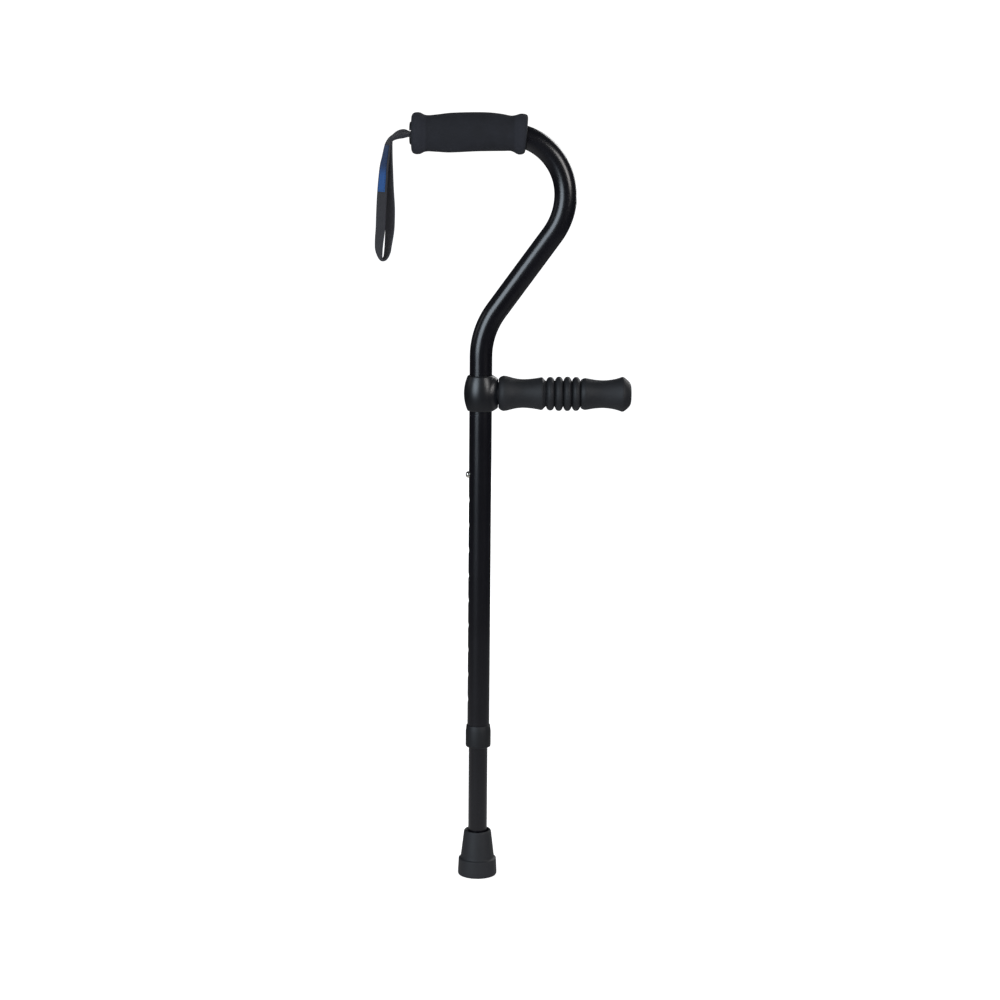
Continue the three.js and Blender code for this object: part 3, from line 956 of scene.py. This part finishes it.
class CANE_OT_snap_button(bpy.types.Operator):
    """Make the domed snap button"""

    bl_idname = "cane.snap_button"
    bl_label = "Snap button"

    def execute(self, context):
        low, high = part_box("snap_button")
        centre = Z_AXIS * (low.z + high.z) / 2
        tip = low.x / MM
        dome = [(3.2 * math.sin(a), tip + 2.4 * (1 - math.cos(a))) for a in (math.pi / 2 * i / 12 for i in range(13))]
        outline = [*dome, (3.2, -7.2), (3.7, -7.2), (3.7, -6.4), (0, -6.4)]
        piece = round_piece("domed_button", outline, X_AXIS, centre, bright_plate(), edge=0.1, sides=48)
        settle(piece, "button", "spring_steel", "snap_button")
        self.spring(centre)
        return {"FINISHED"}

    def spring(self, centre):
        """The bent leaf behind the button."""
        route = smooth_line(
            [
                (-5.7, 6.2),
                (-5.7, -7.8),
                (-4.2, -25.8),
                (-1.6, -45.8),
                (0, -49.6),
                (1.6, -45.8),
                (5.2, -25.8),
                (7, -5.8),
            ],
            6,
        )
        ring = [(centre + Vector((x, 0, z)) * MM, Y_AXIS) for x, z in route]
        bm, _ = ribbon(ring, 5.4 * MM, 2, closes=False)
        leaf = as_piece(bm, "leaf_spring", bright_plate())
        thicken(leaf, 0.6 * MM, 0.1)
        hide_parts("snap_spring")
        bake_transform(leaf)


class CANE_OT_lock_ring(bpy.types.Operator):
    """Make the screw ring at the mouth of the upper tube"""

    bl_idname = "cane.lock_ring"
    bl_label = "Lock ring"

    def execute(self, context):
        low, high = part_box("lock_ring")
        bottom, top, outer = low.z / MM, high.z / MM, high.y / MM
        outline = [
            (9.85, bottom),
            (outer - 0.6, bottom),
            (outer - 0.1, bottom + 0.7),
            (outer, bottom + 2),
            (outer, top - 6.2),
            (outer - 0.25, top - 5.2),
            (12.0, top - 0.7),
            (11.5, top),
            (11.35, top - 0.4),
            (11.35, bottom + 1.8),
            (9.85, bottom + 1.8),
            (9.85, bottom),
        ]
        piece = round_piece("screw_ring", outline, Z_AXIS, Vector(), satin_plastic(), edge=0.2)
        settle(piece, "ring", "moulded_plastic", "lock_ring")
        return {"FINISHED"}


class CANE_OT_rubber_tip(bpy.types.Operator):
    """Make the stepped rubber ferrule"""

    bl_idname = "cane.rubber_tip"
    bl_label = "Rubber tip"

    def execute(self, context):
        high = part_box("rubber_tip")[1]
        top, foot = high.z / MM, high.y / MM
        sole = [(0, 0), (5.5, 0), (6.2, 2.2), (7.8, 2.2), (8.5, 0), (11.5, 0), (12.2, 2.2), (13.8, 2.2), (14.5, 0)]
        side = smooth_line(
            [
                (18.8, 0),
                (19.3, 0.2),
                (foot - 0.1, 0.9),
                (foot, 2.2),
                (foot - 0.1, 5),
                (19.3, 11),
                (19.05, 15.9),
                (18.8, 16.8),
                (17.9, 17.5),
                (17.1, 18.4),
                (16.75, 20.2),
            ],
            3,
        )
        collar = [(13.9, top - 2), (13.5, top - 0.7), (12.9, top), (11.9, top), (11.2, top - 0.6), (10.4, top - 3.4)]
        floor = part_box("tip_washer")[0].z / MM - 0.3
        inside = [(9.75, top - 5), (9.75, floor), (0, floor)]
        outline = [*sole, *side, *collar, *inside]
        piece = round_piece("ferrule", outline, Z_AXIS, Vector(), moulded_rubber(), edge=0)
        settle(piece, "lower", "rubber", "rubber_tip")
        return {"FINISHED"}


class CANE_OT_assist_collar(bpy.types.Operator):
    """Make the polished clamp body: a barrel round the shaft with a boss at its side"""

    bl_idname = "cane.assist_collar"
    bl_label = "Clamp collar"

    def execute(self, context):
        low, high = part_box("assist_collar")
        centre = Z_AXIS * (low.z + high.z) / 2
        half = (high.z - low.z) / 2 / MM
        widest = high.y / MM
        rises = [i / 12 - 1 for i in range(25)]
        barrel = [(0, -half), *((12.9 + (widest - 12.9) * (1 - a * a), half * a) for a in rises), (0, half)]
        boss = [(0, 5.5), (17.1, 5.5), (17.1, 12.6), (16.6, 14.1), (15.4, 15.8), (14.3, 17.2), (0, 17.2)]
        bm = bmesh.new()
        turned(bm, barrel, Z_AXIS, centre)
        closed(bm)
        piece = as_piece(bm, "clamp_body", glossy_plastic())
        bm = bmesh.new()
        turned(bm, boss, X_AXIS, centre)
        closed(bm)
        for v in bm.verts:
            v.co.y *= (15.6 - 0.45 * (v.co.x / MM - 5.5)) / 17.1
        boolean(piece, as_piece(bm, "boss"), "UNION")
        bm = bmesh.new()
        turned(bm, [(0, 10), (10.2, 10), (10.2, high.x / MM), (0, high.x / MM)], X_AXIS, centre)
        closed(bm)
        boolean(piece, as_piece(bm, "spigot"), "UNION")
        self.blend_surface(piece)
        for outline, axis in (
            ([(0, -half - 2), (12.25, -half - 2), (12.25, half + 2), (0, half + 2)], Z_AXIS),
            ([(0, 4), (6.8, 4), (6.8, 21), (6.2, 21), (6.2, 33), (0, 33)], X_AXIS),
        ):
            bm = bmesh.new()
            turned(bm, outline, axis, centre)
            closed(bm)
            boolean(piece, as_piece(bm, "bore"), "DIFFERENCE")
        piece.data.shade_smooth()
        piece.data.set_sharp_from_angle(angle=SHARP_ANGLE)
        settle(piece, "collar", "glossy_plastic", "assist_collar")
        return {"FINISHED"}

    def blend_surface(self, piece):
        """Flows the boss into the barrel, as a moulding does."""
        skin = piece.modifiers.new("Skin", "REMESH")
        skin.mode = "VOXEL"
        skin.voxel_size = 0.45 * MM
        flow = piece.modifiers.new("Flow", "SMOOTH")
        flow.factor = 0.5
        flow.iterations = 24
        apply_modifiers(piece)


class CANE_OT_assist_grip(bpy.types.Operator):
    """Make the ribbed rubber grip of the side handle"""

    bl_idname = "cane.assist_grip"
    bl_label = "Side grip"

    def execute(self, context):
        low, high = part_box("assist_grip")
        centre = Z_AXIS * (low.z + high.z) / 2
        start, end = low.x / MM, high.x / MM
        shoulder = smooth_line(
            [
                (13.6, start),
                (14.9, start + 0.5),
                (16.4, start + 2.2),
                (17.3, start + 4.6),
                (17.1, start + 7.4),
                (16.2, start + 11.2),
                (15.1, start + 15.4),
                (14.3, start + 20.5),
                (14.1, start + 25),
                (14.4, start + 30),
                (15.0, start + 35.5),
                (15.8, start + 40),
                (16.2, start + 42),
            ],
            4,
        )
        ribs = [(15.9, start + 43.2), (14.4, start + 44.6), (13.7, start + 45.3)]
        for middle, crest in zip((68.4, 76.9, 85.3, 93.8), (16.45, 16.8, 16.8, 16.6)):
            ribs += [(12.5, middle - 4.2), (14.3, middle - 3.5), (crest - 0.6, middle - 2.2), (crest, middle - 0.7)]
            ribs += [(crest, middle + 0.7), (crest - 0.6, middle + 2.2), (14.3, middle + 3.5)]
        ribs += [(12.5, 98)]
        tail = smooth_line(
            [
                (14.2, 98.8),
                (15.1, 100.4),
                (15.7, 102.6),
                (15.2, 106),
                (14.2, 112),
                (13.65, 119),
                (13.9, 125),
                (14.8, 131),
                (16.0, 135.6),
                (17.1, 139),
                (16.7, 141),
                (15, 143.3),
                (12.5, 145.9),
                (10, end - 1.1),
                (7.2, end - 0.5),
            ],
            4,
        )
        outline = [
            (10.6, start),
            *shoulder,
            *smooth_line(ribs, 2),
            *tail,
            (0, end - 0.3),
            (0, 143),
            (9.15, 143),
            (9.15, 31.8),
            (10.6, 31.8),
            (10.6, start),
        ]
        piece = round_piece("ribbed_grip", outline, X_AXIS, centre, moulded_rubber(), edge=0)
        settle(piece, "side_handle", "rubber", "assist_grip")
        return {"FINISHED"}


class CANE_OT_inner_parts(bpy.types.Operator):
    """Give the parts inside the cane their finishes"""

    bl_idname = "cane.inner_parts"
    bl_label = "Inner parts"

    def execute(self, context):
        finishes = {
            "strap_pin": zinc_plate,
            "glide_bushing": pale_nylon,
            "split_collet": pale_nylon,
            "tip_washer": zinc_plate,
            "assist_liner": satin_plastic,
            "clamp_insert": machined_brass,
            "pressure_shoe": satin_plastic,
            "assist_rod": zinc_plate,
            "assist_core": satin_plastic,
            "assist_washer": zinc_plate,
            "assist_nut": zinc_plate,
        }
        for node, finish in finishes.items():
            for slot in frame["nodes"][node].material_slots:
                slot.material = finish()
        return {"FINISHED"}


class CANE_OT_stage(bpy.types.Operator):
    """Make the floor, the lights and the camera"""

    bl_idname = "cane.stage"
    bl_label = "Stage"

    def execute(self, context):
        self.floor()
        self.world(context.scene)
        self.lights()
        self.camera(context.scene)
        context.scene.view_settings.view_transform = "Standard"
        return {"FINISHED"}

    def floor(self):
        bm = bmesh.new()
        bmesh.ops.create_circle(bm, cap_ends=True, segments=96, radius=30)
        floor = as_piece(bm, "floor")
        # Painted light: the floor glows. To the camera it is evenly white. To every other ray it glows in a painted
        # pool of light round the cane's foot, which lights the cane from below like a lamp. In reflections it is
        # painted near-black.
        paper = bpy.data.materials.new("Pale paper")
        paper.use_nodes = True
        nodes, links = paper.node_tree.nodes, paper.node_tree.links
        shader = nodes["Principled BSDF"]
        shader.inputs["Roughness"].default_value = 0.9
        shader.inputs["Specular IOR Level"].default_value = 0.1
        shader.inputs["Emission Color"].default_value = (1, 1, 1, 1)
        seen = nodes.new("ShaderNodeLightPath")
        place = nodes.new("ShaderNodeTexCoord")
        spread = nodes.new("ShaderNodeVectorMath")
        spread.operation = "SCALE"
        spread.inputs["Scale"].default_value = 0.6
        painted_light_pool = nodes.new("ShaderNodeTexGradient")
        painted_light_pool.gradient_type = "SPHERICAL"
        fall = math_node(paper.node_tree, "POWER", painted_light_pool.outputs["Fac"], 1.6)
        glow = nodes.new("ShaderNodeMapRange")
        glow.inputs["To Max"].default_value = 0.75
        tint = nodes.new("ShaderNodeMix")
        tint.data_type = "RGBA"
        tint.inputs["A"].default_value = (0.9, 0.9, 0.9, 1)
        tint.inputs["B"].default_value = (0.05, 0.05, 0.055, 1)
        links.new(place.outputs["Object"], spread.inputs[0])
        links.new(spread.outputs[0], painted_light_pool.inputs["Vector"])
        links.new(math_node(paper.node_tree, "MULTIPLY", fall, 0.5), glow.inputs["To Min"])
        links.new(seen.outputs["Is Camera Ray"], glow.inputs["Value"])
        links.new(seen.outputs["Is Glossy Ray"], tint.inputs["Factor"])
        links.new(tint.outputs["Result"], shader.inputs["Base Color"])
        links.new(glow.outputs["Result"], shader.inputs["Emission Strength"])
        floor.data.materials.append(paper)

    def world(self, scene):
        world = bpy.data.worlds.new("Studio")
        scene.world = world
        world.use_nodes = True
        nodes, links = world.node_tree.nodes, world.node_tree.links
        seen = nodes.new("ShaderNodeLightPath")
        surround = nodes["Background"]
        surround.inputs["Color"].default_value = (0.93, 0.96, 1.0, 1)
        dim = nodes.new("ShaderNodeMapRange")
        dim.inputs["To Min"].default_value = 0.45
        dim.inputs["To Max"].default_value = 0.06
        links.new(seen.outputs["Is Glossy Ray"], dim.inputs["Value"])
        links.new(dim.outputs["Result"], surround.inputs["Strength"])
        paper = nodes.new("ShaderNodeBackground")
        paper.inputs["Color"].default_value = (1, 1, 1, 1)
        paper.inputs["Strength"].default_value = 1.1
        mix = nodes.new("ShaderNodeMixShader")
        links.new(seen.outputs["Is Camera Ray"], mix.inputs["Fac"])
        links.new(surround.outputs[0], mix.inputs[1])
        links.new(paper.outputs[0], mix.inputs[2])
        links.new(mix.outputs[0], nodes["World Output"].inputs["Surface"])

    def lights(self):
        target = Vector((0, 0, 0.52))
        cool, warm, plain = (0.78, 0.89, 1), (1, 0.98, 0.97), (1, 1, 1)
        for name, place, size, power, tint, hidden_from in (
            ("key_softbox", (-1.26, -1.6, 1.08), (1.25, 1.6), 44, cool, "visible_diffuse"),
            ("side_softbox", (1.54, -1.34, 1.3), (0.75, 1.1), 21, warm, "visible_diffuse"),
            ("fill_softbox", (0, -2.45, 1.25), (2.2, 1.6), 22, plain, "visible_glossy"),
            ("back_softbox", (1.2, 1.7, 1.25), (1, 1.5), 26, plain, "visible_diffuse"),
            ("back_fill", (0, 2.45, 1.25), (2.2, 1.6), 20, plain, "visible_glossy"),
            ("left_strip", (-2, 0.2, 1.2), (0.5, 0.9), 1, plain, "visible_diffuse"),
        ):
            light = bpy.data.lights.new(name, "AREA")
            light.shape = "RECTANGLE"
            light.size, light.size_y = size
            light.energy = power
            light.color = tint
            lamp = bpy.data.objects.new(name, light)
            setattr(lamp, hidden_from, False)
            lamp.visible_camera = False
            bpy.context.collection.objects.link(lamp)
            lamp.location = place
            lamp.rotation_euler = (target - lamp.location).to_track_quat("-Z", "Y").to_euler()

    def camera(self, scene):
        data = bpy.data.cameras.new("camera")
        data.sensor_width = 36
        data.lens = 81
        data.clip_start, data.clip_end = 0.05, 100
        data.dof.use_dof = False
        camera = bpy.data.objects.new("camera", data)
        bpy.context.collection.objects.link(camera)
        camera.location = (0.0199, -2.2, 0.7585)
        down = Matrix.Rotation(math.radians(90 - 9.61), 4, "X")
        roll = Matrix.Rotation(math.radians(0.51), 4, "Z")
        camera.rotation_euler = (down @ roll).to_euler()
        scene.camera = camera


OPERATORS = (
    CANE_OT_stage,
    CANE_OT_upper_shaft,
    CANE_OT_lower_shaft,
    CANE_OT_handle_grip,
    CANE_OT_handle_plug,
    CANE_OT_wrist_strap,
    CANE_OT_snap_button,
    CANE_OT_lock_ring,
    CANE_OT_rubber_tip,
    CANE_OT_assist_collar,
    CANE_OT_assist_grip,
    CANE_OT_inner_parts,
)


class CANE_PT_panel(bpy.types.Panel):
    """Lists the cane's pieces in the sidebar"""

    bl_idname = "CANE_PT_panel"
    bl_label = "Walking cane"
    bl_space_type = "VIEW_3D"
    bl_region_type = "UI"
    bl_category = "Cane"

    def draw(self, context):
        for operator in OPERATORS:
            self.layout.operator(operator.bl_idname)


CLASSES = (CaneSizes, CaneColours, *OPERATORS, CANE_PT_panel)


def register():
    for cls in CLASSES:
        bpy.utils.register_class(cls)
    bpy.types.Scene.cane_sizes = bpy.props.PointerProperty(type=CaneSizes)
    bpy.types.Scene.cane_colours = bpy.props.PointerProperty(type=CaneColours)


def unregister():
    del bpy.types.Scene.cane_colours
    del bpy.types.Scene.cane_sizes
    for cls in reversed(CLASSES):
        bpy.utils.unregister_class(cls)


def main():
    register()
    for operator in OPERATORS:
        group, name = operator.bl_idname.split(".")
        getattr(getattr(bpy.ops, group), name)()


if __name__ == "__main__":
    main()
